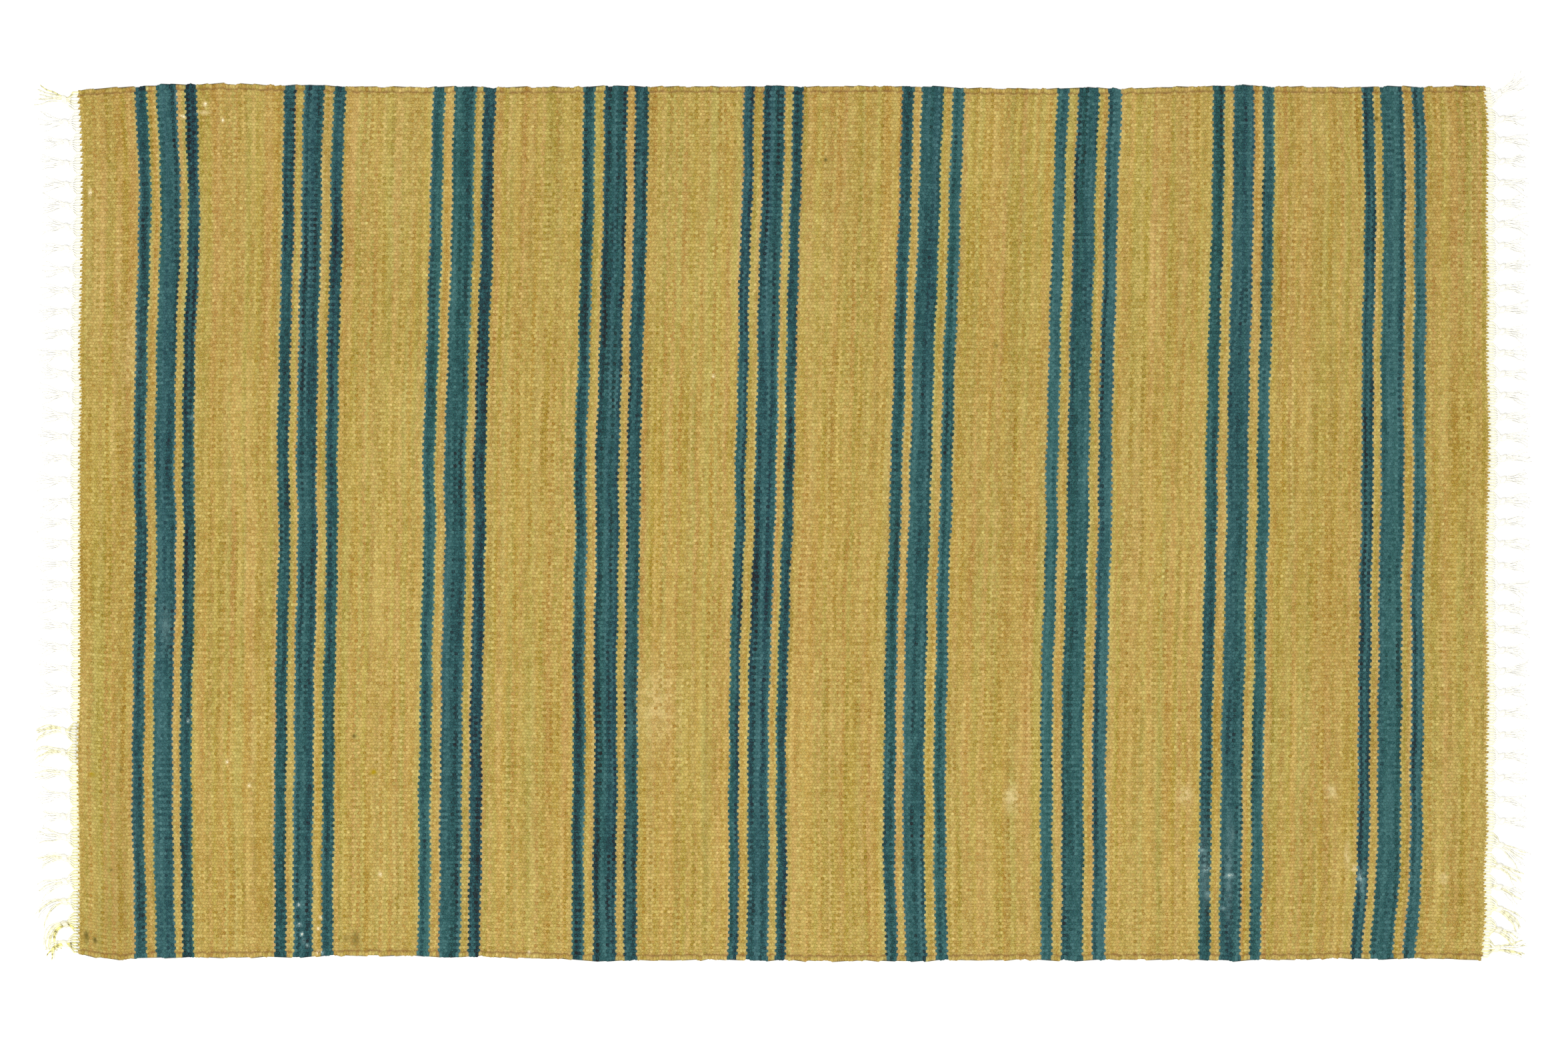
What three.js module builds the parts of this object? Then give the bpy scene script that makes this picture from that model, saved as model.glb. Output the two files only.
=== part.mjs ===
// A flat-woven kilim, 1.6 m long, lying flat on a floor: the woven ground in
// one piece, and a knotted fringe of its own warp ends at each short side.
// Millimetres. X runs along the warps, Y across them, +Z is up, the floor is
// z = 0, and the origin is the middle of the whole rug's footprint.

import * as THREE from "three";

// Driving sizes of the woven ground.
const LENGTH = 1600;
const WIDTH = 995;
const THICKNESS = 3;
const SELVEDGE_WIDTH = 6;
const SELVEDGE_RISE = 0.7;
const LONG_STATIONS = 56;
const SHORT_STATIONS = 56;

// Driving sizes of a fringe. Seven warps are knotted into each tassel.
const TASSELS = 41;
const CLEARANCE = 0.5;
const HEADING_WIDTH = 6.5;
const HEADING_SETBACK = 1.5;
const WARP_THICKNESS = 2.2;
const LOCK_LENGTH = 25;
const LOCK_STEPS = 2;
const CORNER_LOCK_STEPS = 4;
const LEAN_SWING = 6;
const CURL_SWING = 10;
const REACH_SWING = 0.1;

// How far each edge of the cloth lies outside its straight line, going along
// it. The weaver's pull makes it wander by a few millimetres.
const NORTH_EDGE = [
  { at: -800, out: -4.3 },
  { at: -716, out: 0.2 },
  { at: -640, out: 2.9 },
  { at: -564, out: 1.0 },
  { at: -489, out: -0.5 },
  { at: -337, out: -1.3 },
  { at: -186, out: -0.5 },
  { at: 42, out: -0.5 },
  { at: 117, out: 0.2 },
  { at: 193, out: -2.0 },
  { at: 307, out: -2.8 },
  { at: 420, out: -2.0 },
  { at: 496, out: 0.2 },
  { at: 648, out: -1.3 },
  { at: 800, out: 0.2 },
];
const SOUTH_EDGE = [
  { at: -800, out: -6.6 },
  { at: -754, out: -0.5 },
  { at: -716, out: -3.6 },
  { at: -640, out: -2.8 },
  { at: -489, out: -5.0 },
  { at: -337, out: -3.6 },
  { at: -186, out: 0.2 },
  { at: -34, out: -0.5 },
  { at: 42, out: 1.0 },
  { at: 193, out: 0.2 },
  { at: 420, out: -0.5 },
  { at: 572, out: -0.5 },
  { at: 648, out: -2.0 },
  { at: 724, out: -2.0 },
  { at: 800, out: -0.8 },
];
const WEST_EDGE = [
  { at: -497, out: 0.8 },
  { at: -398, out: 0.8 },
  { at: -299, out: 2.3 },
  { at: -250, out: 2.3 },
  { at: -201, out: 0.8 },
  { at: 95, out: 0.8 },
  { at: 144, out: -0.8 },
  { at: 193, out: 0.8 },
  { at: 292, out: -1.5 },
  { at: 365, out: -2.3 },
  { at: 440, out: -1.5 },
  { at: 497, out: 2.3 },
];
const EAST_EDGE = [
  { at: -497, out: -6.0 },
  { at: -447, out: -1.5 },
  { at: -398, out: -2.3 },
  { at: -348, out: 0.8 },
  { at: -299, out: 0.0 },
  { at: -201, out: 1.5 },
  { at: -53, out: 0.0 },
  { at: 95, out: 3.0 },
  { at: 193, out: 0.8 },
  { at: 269, out: 1.5 },
  { at: 341, out: 0.0 },
  { at: 455, out: 0.8 },
  { at: 497, out: -3.0 },
];

// The rim of the ground, from the floor up and inwards: heights along the two
// selvedges and along the two ends. A selvedge is a little fatter than the
// cloth, because the weft turns round doubled warps there.
const RIM = [
  { inset: 1.2, selvedge: 0, end: 0 },
  { inset: 0, selvedge: 1.8, end: 1.5 },
  { inset: 1.2, selvedge: THICKNESS + SELVEDGE_RISE, end: THICKNESS },
  { inset: 3.6, selvedge: THICKNESS + SELVEDGE_RISE, end: THICKNESS },
  { inset: SELVEDGE_WIDTH, selvedge: THICKNESS, end: THICKNESS },
];

// The head of a tassel, outwards from the heading: the warps draw together
// into a neck, and the knot swells and closes on the loose ends. The last
// column says how round the section is, from a flat strip to a barrel.
const HEAD = [
  { name: "root", out: 0, half: 9.2, high: WARP_THICKNESS, round: 0 },
  { name: "neck", out: 5, half: 2.9, high: 3.4, round: 0.6 },
  { name: "knot, near side", out: 7, half: 4.8, high: 6.2, round: 1 },
  { name: "knot, far side", out: 11, half: 4.6, high: 6.0, round: 1 },
  { name: "knot, mouth", out: 13, half: 3.4, high: 3.0, round: 0.2 },
];

// Across a tassel's section, four points lie on the floor and four on top, so
// that three locks leave the mouth side by side.
const SECTION_SPREAD = [-1, -1 / 3, 1 / 3, 1];
const ROUND_UNDERSIDE = 0.25;
const ROUND_SHOULDER = 0.45;
const ROUND_CROWN = 0.1;

// The three locks of a tassel: how they fan out and curl on the way, in
// degrees, and their share of the full length.
const LOCKS = [
  { fan: -11, curl: -5, share: 0.92 },
  { fan: 1, curl: 2, share: 1 },
  { fan: 12, curl: 6, share: 0.88 },
];

// A lock's own section lies flat on the floor, and thins towards the tip.
const LOCK_SECTION = { low: 1.6, top: 0.9, high: 2.3 };
const LOCK_TIP_TAPER = 0.3;

// The corner tassels lie as they were dropped: how far they lean towards
// +Y, how far they curl, in degrees, and their share of the full length.
const CORNER_TASSELS = [
  { side: -1, index: 0, lean: -22, curl: 56, share: 1.4 },
  { side: -1, index: 1, lean: -10, curl: 14, share: 0.85 },
  { side: -1, index: 2, lean: -12, curl: 2, share: 1.15 },
  { side: -1, index: TASSELS - 1, lean: 17, curl: -6, share: 1.2 },
  { side: 1, index: 0, lean: -3, curl: 0, share: 1.15 },
  { side: 1, index: 1, lean: -14, curl: -4, share: 0.95 },
  { side: 1, index: 2, lean: -22, curl: -10, share: 1.0 },
  { side: 1, index: TASSELS - 1, lean: 28, curl: 8, share: 1.2 },
];

const GROUND_COLOUR = 0xbda15a;
const COTTON_COLOUR = 0xf2eee0;
const CLOTH_ROUGHNESS = 0.92;

// A closed surface, put together face by face. Corners are given
// counterclockwise as seen from outside.
class Skin {
  constructor() {
    this.points = [];
    this.faces = [];
  }

  point(x, y, z) {
    this.points.push(new THREE.Vector3(x, y, z));
    return this.points.length - 1;
  }

  face(first, ...rest) {
    for (let i = 0; i < rest.length - 1; i += 1) {
      this.faces.push([first, rest[i], rest[i + 1]]);
    }
  }

  // The wall between two rings that turn the same way.
  band(near, far) {
    near.forEach((corner, i) => {
      const next = (i + 1) % near.length;
      this.face(corner, near[next], far[next], far[i]);
    });
  }

  // The same surface on the other side of the plane x = 0.
  mirror() {
    this.points.forEach((p) => p.setX(-p.x));
    this.faces.forEach((corners) => corners.reverse());
  }

  geometry() {
    const geometry = new THREE.BufferGeometry().setFromPoints(this.points);
    geometry.setIndex(this.faces.flat());
    geometry.computeVertexNormals();
    return geometry;
  }
}

// The smooth value of an edge's table at a place between two of its rows.
function outwards(rows, at) {
  const last = rows.length - 1;
  let i = 0;
  while (i < last - 1 && at > rows[i + 1].at) {
    i += 1;
  }
  const near = rows[i];
  const far = rows[i + 1];
  const before = rows[Math.max(i - 1, 0)];
  const after = rows[Math.min(i + 2, last)];
  const span = far.at - near.at;
  const t = THREE.MathUtils.clamp((at - near.at) / span, 0, 1);
  const nearSlope = ((far.out - before.out) / (far.at - before.at)) * span;
  const farSlope = ((after.out - near.out) / (after.at - near.at)) * span;
  const rise = far.out - near.out;
  const bend = 3 * rise - 2 * nearSlope - farSlope;
  const twist = nearSlope + farSlope - 2 * rise;
  return near.out + t * (nearSlope + t * (bend + t * twist));
}

// Where a point of the straight-edged cloth lies in the real, uneven one.
function place(x, y) {
  const east = x / LENGTH + 0.5;
  const north = y / WIDTH + 0.5;
  const moveX = outwards(EAST_EDGE, y) * east - outwards(WEST_EDGE, y) * (1 - east);
  const moveY = outwards(NORTH_EDGE, x) * north - outwards(SOUTH_EDGE, x) * (1 - north);
  return new THREE.Vector2(x + moveX, y + moveY);
}

// One ring of the rim, counterclockwise from the south-west corner. The first
// and the last step up a short side are as wide as a selvedge.
function rimRing(skin, row) {
  const halfLength = LENGTH / 2 - row.inset;
  const halfWidth = WIDTH / 2 - row.inset;
  const longSteps = Array.from({ length: LONG_STATIONS }, (_, i) => i / LONG_STATIONS);
  const shortSteps = Array.from({ length: SHORT_STATIONS }, (_, i) => i / SHORT_STATIONS);
  shortSteps.splice(1, 0, SELVEDGE_WIDTH / WIDTH);
  shortSteps.push(1 - SELVEDGE_WIDTH / WIDTH);
  const ring = [];
  const put = (x, y, z) => {
    const p = place(x, y);
    ring.push(skin.point(p.x, p.y, z));
  };
  const endHeight = (t) => (t === 0 ? row.selvedge : row.end);
  longSteps.forEach((t) => put((2 * t - 1) * halfLength, -halfWidth, row.selvedge));
  shortSteps.forEach((t) => put(halfLength, (2 * t - 1) * halfWidth, endHeight(t)));
  longSteps.forEach((t) => put((1 - 2 * t) * halfLength, halfWidth, row.selvedge));
  shortSteps.forEach((t) => put(-halfLength, (1 - 2 * t) * halfWidth, endHeight(t)));
  return ring;
}

// The flat face inside a ring, seen from above, or turned over for below.
function flatCap(skin, ring, below) {
  const outline = ring.map((corner) => new THREE.Vector2(skin.points[corner].x, skin.points[corner].y));
  for (const [a, b, c] of THREE.ShapeUtils.triangulateShape(outline, [])) {
    const corners = below ? [c, b, a] : [a, b, c];
    skin.face(...corners.map((i) => ring[i]));
  }
}

function groundGeometry() {
  const skin = new Skin();
  const rings = RIM.map((row) => rimRing(skin, row));
  flatCap(skin, rings[0], true);
  rings.slice(1).forEach((ring, i) => skin.band(rings[i], ring));
  flatCap(skin, rings[rings.length - 1], false);
  return skin.geometry();
}

// The middle of a tassel on the straight-edged cloth.
function tasselMiddle(index) {
  const pitch = (WIDTH - 2 * HEADING_SETBACK) / TASSELS;
  return (index + 0.5) * pitch - WIDTH / 2 + HEADING_SETBACK;
}

// How one tassel lies. A hand-tied row is even, but no two tassels are alike.
function tasselPose(side, index) {
  const corner = CORNER_TASSELS.find((row) => row.side === side && row.index === index);
  if (corner) {
    return { ...corner, steps: CORNER_LOCK_STEPS };
  }
  const lean = LEAN_SWING * (0.7 * Math.sin(0.6 * index + side) + 0.3 * Math.sin(1.7 * index));
  const curl = CURL_SWING * Math.sin(2.6 * index - 0.8 * side);
  const share = 1 + REACH_SWING * Math.sin(3.3 * index + 2 * side);
  return { lean, curl, share, steps: LOCK_STEPS };
}

// A fringe is built as the east one is. For the west end, this gives the same
// place with x turned over, and the whole is mirrored afterwards.
function endOfCloth(side, y) {
  const p = place((side * LENGTH) / 2, y);
  return new THREE.Vector2(side * p.x, p.y);
}

// One section of a tassel's head: four points low, then four on top, back.
function headRing(skin, row, origin, heading) {
  const put = (across, up) => {
    const x = origin.x + Math.cos(heading) * row.out - Math.sin(heading) * across * row.half;
    const y = origin.y + Math.sin(heading) * row.out + Math.cos(heading) * across * row.half;
    return skin.point(x, y, up * row.high);
  };
  const low = SECTION_SPREAD.map((across) => put(across * (1 - ROUND_UNDERSIDE * row.round), 0));
  const top = SECTION_SPREAD.map((across) => {
    const shoulder = Math.abs(across) === 1;
    const widened = shoulder ? across : across + Math.sign(across) * ROUND_CROWN * row.round;
    return put(widened, shoulder ? 1 - ROUND_SHOULDER * row.round : 1);
  });
  return { low, top };
}

const asLoop = ({ low, top }) => [...low, ...[...top].reverse()];

// One lock: an arc on the floor from its own third of the mouth to its tip.
function addLock(skin, mouthCorners, lock, pose, heading) {
  const turn = THREE.MathUtils.degToRad(lock.curl + pose.curl);
  const step = (LOCK_LENGTH * lock.share * pose.share) / pose.steps;
  const [lowNear, lowFar] = mouthCorners.map((corner) => skin.points[corner]);
  const middle = new THREE.Vector2((lowNear.x + lowFar.x) / 2, (lowNear.y + lowFar.y) / 2);
  let angle = heading + THREE.MathUtils.degToRad(lock.fan);
  let ring = mouthCorners;
  for (let i = 1; i <= pose.steps; i += 1) {
    const onwards = angle + turn / (2 * pose.steps);
    middle.x += step * Math.cos(onwards);
    middle.y += step * Math.sin(onwards);
    angle += turn / pose.steps;
    const size = 1 - (LOCK_TIP_TAPER * i) / pose.steps;
    const put = (across, up) => {
      const x = middle.x - Math.sin(angle) * across * size;
      const y = middle.y + Math.cos(angle) * across * size;
      return skin.point(x, y, up * size);
    };
    const next = [
      put(-LOCK_SECTION.low, 0),
      put(LOCK_SECTION.low, 0),
      put(LOCK_SECTION.top, LOCK_SECTION.high),
      put(-LOCK_SECTION.top, LOCK_SECTION.high),
    ];
    skin.band(ring, next);
    ring = next;
  }
  skin.face(...ring);
}

// One tassel, out from the heading. Its first ring belongs to the heading.
function addTassel(skin, side, index) {
  const y = tasselMiddle(index);
  const origin = endOfCloth(side, y);
  origin.x += CLEARANCE + HEADING_WIDTH;
  const pose = tasselPose(side, index);
  const heading = THREE.MathUtils.degToRad(pose.lean);
  const rings = HEAD.map((row, i) => headRing(skin, row, origin, i === 0 ? 0 : heading));
  rings.slice(1).forEach((ring, i) => skin.band(asLoop(rings[i]), asLoop(ring)));
  const mouth = rings[rings.length - 1];
  LOCKS.forEach((lock, i) => {
    const corners = [mouth.low[i], mouth.low[i + 1], mouth.top[i + 1], mouth.top[i]];
    addLock(skin, corners, lock, pose, heading);
  });
  return rings[0];
}

// A post of the heading is the section through it at one place: two corners
// beside the cloth and two on the outer side.
function headingPost(skin, side, y, outerLow, outerHigh) {
  const inner = endOfCloth(side, y);
  inner.x += CLEARANCE;
  const outer = inner.x + HEADING_WIDTH;
  return {
    innerLow: skin.point(inner.x, inner.y, 0),
    innerHigh: skin.point(inner.x, inner.y, WARP_THICKNESS),
    outerLow: outerLow ?? skin.point(outer, inner.y, 0),
    outerHigh: outerHigh ?? skin.point(outer, inner.y, WARP_THICKNESS),
  };
}

// The bare warps between two posts, closed on all four sides.
function addPlainHeading(skin, south, north) {
  skin.face(south.innerLow, south.innerHigh, north.innerHigh, north.innerLow);
  skin.face(south.outerLow, north.outerLow, north.outerHigh, south.outerHigh);
  skin.face(south.innerHigh, south.outerHigh, north.outerHigh, north.innerHigh);
  skin.face(south.innerLow, north.innerLow, north.outerLow, south.outerLow);
}

// The bare warps behind a tassel, open where the tassel goes on.
function addHeadingBehind(skin, south, north, root) {
  skin.face(south.innerLow, south.innerHigh, north.innerHigh, north.innerLow);
  skin.face(south.innerHigh, ...root.top, north.innerHigh);
  skin.face(south.innerLow, north.innerLow, ...[...root.low].reverse());
}

// A whole fringe: a narrow heading of bare warps that follows the end of the
// cloth, and the row of tassels that grows out of it.
function fringeGeometry(side) {
  const skin = new Skin();
  const halfWidth = WIDTH / 2 - HEADING_SETBACK;
  const rootHalf = HEAD[0].half;
  let post = headingPost(skin, side, -halfWidth);
  skin.face(post.innerLow, post.outerLow, post.outerHigh, post.innerHigh);
  for (let index = 0; index < TASSELS; index += 1) {
    const y = tasselMiddle(index);
    const root = addTassel(skin, side, index);
    const south = headingPost(skin, side, y - rootHalf, root.low[0], root.top[0]);
    const north = headingPost(skin, side, y + rootHalf, root.low[3], root.top[3]);
    addPlainHeading(skin, post, south);
    addHeadingBehind(skin, south, north, root);
    post = north;
  }
  const last = headingPost(skin, side, halfWidth);
  addPlainHeading(skin, post, last);
  skin.face(last.innerLow, last.innerHigh, last.outerHigh, last.outerLow);
  if (side < 0) {
    skin.mirror();
  }
  return skin.geometry();
}

function named(name, geometry, color) {
  const material = new THREE.MeshStandardMaterial({ color, roughness: CLOTH_ROUGHNESS, metalness: 0 });
  const mesh = new THREE.Mesh(geometry, material);
  mesh.name = name;
  return mesh;
}

const kilim = new THREE.Group();
kilim.add(named("ground", groundGeometry(), GROUND_COLOUR));
kilim.add(named("fringe_left", fringeGeometry(-1), COTTON_COLOUR));
kilim.add(named("fringe_right", fringeGeometry(1), COTTON_COLOUR));

// The middle of the footprint becomes the origin.
const middle = new THREE.Box3().setFromObject(kilim).getCenter(new THREE.Vector3());
kilim.position.set(-middle.x, -middle.y, 0);

export default kilim;
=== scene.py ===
import math

import bpy
import numpy as np
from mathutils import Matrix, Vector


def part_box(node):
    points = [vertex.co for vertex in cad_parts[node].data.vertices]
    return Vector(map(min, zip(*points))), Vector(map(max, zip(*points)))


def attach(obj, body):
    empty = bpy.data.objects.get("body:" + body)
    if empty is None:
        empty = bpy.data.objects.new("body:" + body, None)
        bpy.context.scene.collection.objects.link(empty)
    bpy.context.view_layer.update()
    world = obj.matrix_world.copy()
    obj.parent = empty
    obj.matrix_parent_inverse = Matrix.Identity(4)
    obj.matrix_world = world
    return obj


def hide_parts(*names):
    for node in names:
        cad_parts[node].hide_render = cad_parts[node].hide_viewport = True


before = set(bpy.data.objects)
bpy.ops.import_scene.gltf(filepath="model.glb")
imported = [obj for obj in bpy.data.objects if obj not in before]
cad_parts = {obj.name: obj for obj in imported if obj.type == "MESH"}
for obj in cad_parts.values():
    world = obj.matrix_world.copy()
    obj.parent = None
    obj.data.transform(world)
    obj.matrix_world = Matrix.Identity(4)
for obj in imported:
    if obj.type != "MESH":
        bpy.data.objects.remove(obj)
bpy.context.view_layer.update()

# A flat-woven kilim lying on a pale floor: weft-faced plain weave in mustard
# and blue wool on white cotton warps, which end in knotted tassels. Metres.
# X runs along the warps and Y along the picks of weft, seen from above.
# A place on the straight-edged cloth is given in picks from its west end and
# in ribs from its south edge, and place() says where that lies on the real one.

MM = 0.001

# The straight-edged cloth, as its solid has it.
LENGTH = 1600 * MM
WIDTH = 995 * MM
THICKNESS = 3 * MM
SELVEDGE_WIDTH = 6 * MM
SELVEDGE_RISE = 0.7 * MM

# The weave. A pick shows on top as a float over every second warp, so floats
# stand two picks apart on a rib and are staggered from one rib to the next.
PICKS = 872
RIBS = 286
PICK_PITCH = LENGTH / PICKS
RELIEF = 0.6 * MM
RIM_HEIGHT = 1.7 * MM
RIM_INSET = 1.0 * MM
UNDERSIDE_STEP = 48

# The stripe groups: the first pick of the wide stripe, then how many picks the
# narrow stripe west of it has, the gap, the wide stripe, the gap and the narrow
# stripe east of it.
STRIPES = [
    (47, 7, 6, 12, 5, 7),
    (136, 7, 5, 12, 6, 7),
    (227, 7, 6, 13, 5, 7),
    (320, 7, 6, 14, 5, 8),
    (418, 6, 6, 13, 5, 6),
    (515, 7, 5, 13, 6, 7),
    (612, 7, 6, 13, 6, 8),
    (710, 7, 6, 13, 6, 7),
    (807, 7, 5, 14, 6, 7),
]

# The picks were beaten in unevenly, so the stripes bow: where the middle of
# each wide stripe lies, in mm east of the middle, on these lines across.
LIE_LINES = (-490, -400, -300, -170, -60, 70, 200, 310, 400, 490)
STRIPE_LIE = [
    (-702, -703.5, -705.5, -704, -702, -703, -701, -697, -697, -701),
    (-546, -546, -545.5, -544, -542, -542, -540, -537, -536, -533),
    (-380, -378, -378, -376, -374, -373, -369, -365, -364, -361),
    (-203, -203, -202, -202, -201, -200, -196, -193, -191, -190),
    (-30, -28, -29, -27, -24, -20, -17, -15, -11.5, -10),
    (151, 148.5, 148, 150, 152, 156, 160, 164, 167, 170),
    (328, 329, 328.5, 330, 333, 335, 338, 341, 343.5, 347.5),
    (507.5, 508.5, 509.5, 512, 514, 516, 519, 521.5, 523.5, 523.5),
    (679.5, 687, 688.5, 689.5, 690, 692, 692.5, 694, 694.5, 691),
]

# A soft crease runs across the middle, and there the stripes lie further east.
CREASE = 1.3 * MM
CREASE_HALF = 38 * MM

# How the stripes look beside each other: how much greener and how much paler
# than the rest, in steps, for a group's narrow western, wide and narrow
# eastern stripe.
STRIPE_LOOKS = [
    ((1, 0), (0, 0), (0, -1)),
    ((0, -1), (0, -1), (0, -1)),
    ((2, 2), (1, 0), (0, -1)),
    ((1, -1), (0, -1), (0, -1)),
    ((0, -1), (0, 0), (0, 0)),
    ((1, 0), (1, 0), (1, 0)),
    ((1, 1), (1, 1), (0, 0)),
    ((1, 0), (0, 0), (1, 0)),
    ((0, 0), (1, 1), (0, 1)),
]

# How far each edge of the cloth lies outside its straight line, in mm: the
# place along it, then the distance outwards. The solid has the same edges.
NORTH_EDGE = [
    (-800, -4.3), (-716, 0.2), (-640, 2.9), (-564, 1.0), (-489, -0.5),
    (-337, -1.3), (-186, -0.5), (42, -0.5), (117, 0.2), (193, -2.0),
    (307, -2.8), (420, -2.0), (496, 0.2), (648, -1.3), (800, 0.2),
]
SOUTH_EDGE = [
    (-800, -6.6), (-754, -0.5), (-716, -3.6), (-640, -2.8), (-489, -5.0),
    (-337, -3.6), (-186, 0.2), (-34, -0.5), (42, 1.0), (193, 0.2),
    (420, -0.5), (572, -0.5), (648, -2.0), (724, -2.0), (800, -0.8),
]
WEST_EDGE = [
    (-497, 0.8), (-398, 0.8), (-299, 2.3), (-250, 2.3), (-201, 0.8), (95, 0.8),
    (144, -0.8), (193, 0.8), (292, -1.5), (365, -2.3), (440, -1.5), (497, 2.3),
]
EAST_EDGE = [
    (-497, -6.0), (-447, -1.5), (-398, -2.3), (-348, 0.8), (-299, 0.0), (-201, 1.5),
    (-53, 0.0), (95, 3.0), (193, 0.8), (269, 1.5), (341, 0.0), (455, 0.8), (497, -3.0),
]

# Where blue yarn turns round a selvedge it stands out a little, and the
# selvedges are bumpy: how far each bump reaches outwards and how long it is.
STRIPE_BULGE = 1.3 * MM
STRIPE_BULGE_LENGTH = 14 * MM
SELVEDGE_BUMPS = [(0.55 * MM, 16 * MM), (0.45 * MM, 9.5 * MM), (0.4 * MM, 27 * MM)]
# What keeps the bumps from repeating, in shares of one: where each wave and
# the northern selvedge start, and how far they drift, in waves this much longer.
BUMP_START, NORTH_START = 0.4, 0.37
DRIFT, DRIFT_LENGTH = 0.3, 2.6
# The last turn of weft makes a lump at the southeast corner.
CORNER_LUMP = 2.4 * MM
CORNER_LUMP_LENGTH = 7 * MM

# Worn and soiled places: X and Y of the middle on the real cloth before it is
# centred, how far they reach along X and Y, all in mm, and how strong they are.
# Past a strength of 1 the pale ends of fibre hide the colour of the wool.
PALE_PLACES = [
    (-682, 462, 2.4, 1.9, 2.0), (-657, 476, 1.9, 1.9, 2.0), (-637, 458, 1.5, 1.9, 1.7),
    (-659, 467, 8.0, 1.9, 0.6), (-690, 486, 1.6, 6.0, 0.6), (-788, 375, 1.3, 4.0, 2.0),
    (-79, 167, 1.5, 2.0, 1.7), (-607, -298, 1.5, 1.9, 1.2),
    (-551, -434, 1.6, 2.0, 2.0), (-550, -457, 1.6, 1.9, 1.8), (-547, -467, 1.4, 1.9, 2.0),
    (-545, -475, 1.4, 1.9, 1.6), (-541, -480, 1.5, 1.9, 1.8), (-526, -448, 1.4, 1.9, 1.5),
    (-529, -461, 1.4, 1.9, 1.7), (-527, -488, 4.0, 1.6, 1.6), (-632, -271, 1.4, 1.9, 1.8),
    (-676, -224, 1.5, 2.0, 1.9), (-458, -399, 1.4, 2.0, 1.6),
    (-289, -488, 1.6, 1.9, 1.5), (478, -391, 5, 40, 0.3), (506, -397, 4, 50, 0.3),
    (658, -409, 4, 15, 0.3), (-702, -118, 6, 22, 0.25), (259, -313, 7, 12, 0.5),
    (457, -310, 7, 9, 0.5), (623, -305, 5, 7, 0.5), (641, -377, 4, 13, 0.5),
    (750, -404, 4, 6, 0.45), (-144, -205, 22, 42, 0.2), (-742, 200, 14, 60, 0.12),
    (474, -372, 2.5, 3.5, 0.7), (481, -392, 4.5, 3, 0.8), (483, -423, 3, 4, 0.55),
    (508, -401, 5, 2.6, 0.8), (511, -353, 2, 7, 0.5), (649, -392, 4, 3, 0.8),
    (655, -402, 3, 6, 0.7), (500, -438, 3, 3, 0.5), (-672, 120, 2, 3, 0.6),
]
SOILED_PLACES = [
    (-752, -386, 40, 100, 0.10), (-768, -455, 22, 40, 0.12), (674, 460, 1.9, 2.2, 1.4),
    (48, 413, 1.7, 2.1, 1.1), (242, 202, 1.7, 2.0, 1.0), (-753, -280, 2.0, 2.4, 0.7),
    (-488, -242, 1.8, 2.2, 1.0), (-792, -470, 2.4, 6, 1.3), (-782, -474, 2.4, 4, 0.8),
    (-764, -394, 1.8, 2, 0.8), (-486, -473, 4, 9, 0.8), (-497, -472, 4, 4, 0.45),
    # One of these, the long thin line at -87, -276, is only a darker line that looks like a fold.
    (-87, -276, 5, 110, 0.12), (-764, -308, 4, 5, 0.18),
    (-773, -343, 4, 5, 0.16), (572, -221, 4, 5, 0.18),
]
YELLOW_PLACES = [(-786, -286, 3.4, 2.2, 1.5), (-466, -283, 3.6, 2.6, 1.3), (60, -289, 3, 2, 0.5)]

# A fringe. Seven warps are knotted into each tassel. Between the cloth and the
# knots lies the heading, where the warps are bare.
TASSELS = 41
WARPS_IN_TASSEL = 7
MIDDLE_WARP = (WARPS_IN_TASSEL - 1) / 2
CLEARANCE = 0.5 * MM
HEADING_WIDTH = 6.5 * MM
HEADING_SETBACK = 1.5 * MM
TASSEL_PITCH = (WIDTH - 2 * HEADING_SETBACK) / TASSELS
YARN_RADIUS = 0.95 * MM
LOOSE_LENGTH = 25 * MM
# How far the tassels differ in lean and curl, in degrees, and in length.
LEAN_SWING = 6
CURL_SWING = 10
REACH_SWING = 0.1

# The corner tassels lie as they were dropped: end of the rug, number from the
# south, lean and curl in degrees, and share of the usual length.
CORNER_TASSELS = {
    (-1, 0): (-4, -74, 0.85),
    (-1, 1): (-14, -118, 1.5),
    (-1, 2): (-4, -76, 1.5),
    (-1, 3): (-12, -26, 1.2),
    (-1, 4): (8, -48, 1.1),
    (-1, 8): (6, -26, 1.1),
    (-1, 9): (10, -44, 1.15),
    (-1, 10): (12, -48, 1.15),
    (-1, TASSELS - 1): (12, -6, 1.2),
    (1, 0): (-3, 0, 1.15),
    (1, 1): (-24, -10, 0.95),
    (1, 2): (-26, -34, 1.15),
    (1, 3): (-22, -10, 1.0),
    (1, 4): (-24, -16, 1.1),
    (1, 5): (-28, -8, 1.2),
    (1, TASSELS - 1): (28, 8, 1.2),
}
# The bare warps beside the cloth have yellowed, from the south of each end to the north.
YELLOWED_WARPS = {-1: (0.75, 0.12), 1: (0.40, 0.28)}
# The tinted stretches of fringe: end of the rug, first and last tassel from the
# south, how dark the painted shade on the bare warps beside the cloth is, and how yellow the yarns.
SHADED_AND_YELLOWED_TASSELS = [
    (-1, 0, 2, 0.75, 0.85), (-1, 3, 5, 0.3, 0.3), (-1, 6, 8, 0.0, 0.25), (-1, 9, 10, 0.6, 0.45),
    (-1, TASSELS - 1, TASSELS - 1, 0.0, 0.6), (1, 0, 0, 0.0, 0.9), (1, 1, 2, 0.0, 0.5),
    (1, 3, 5, 0.0, 0.3),
]

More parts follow.
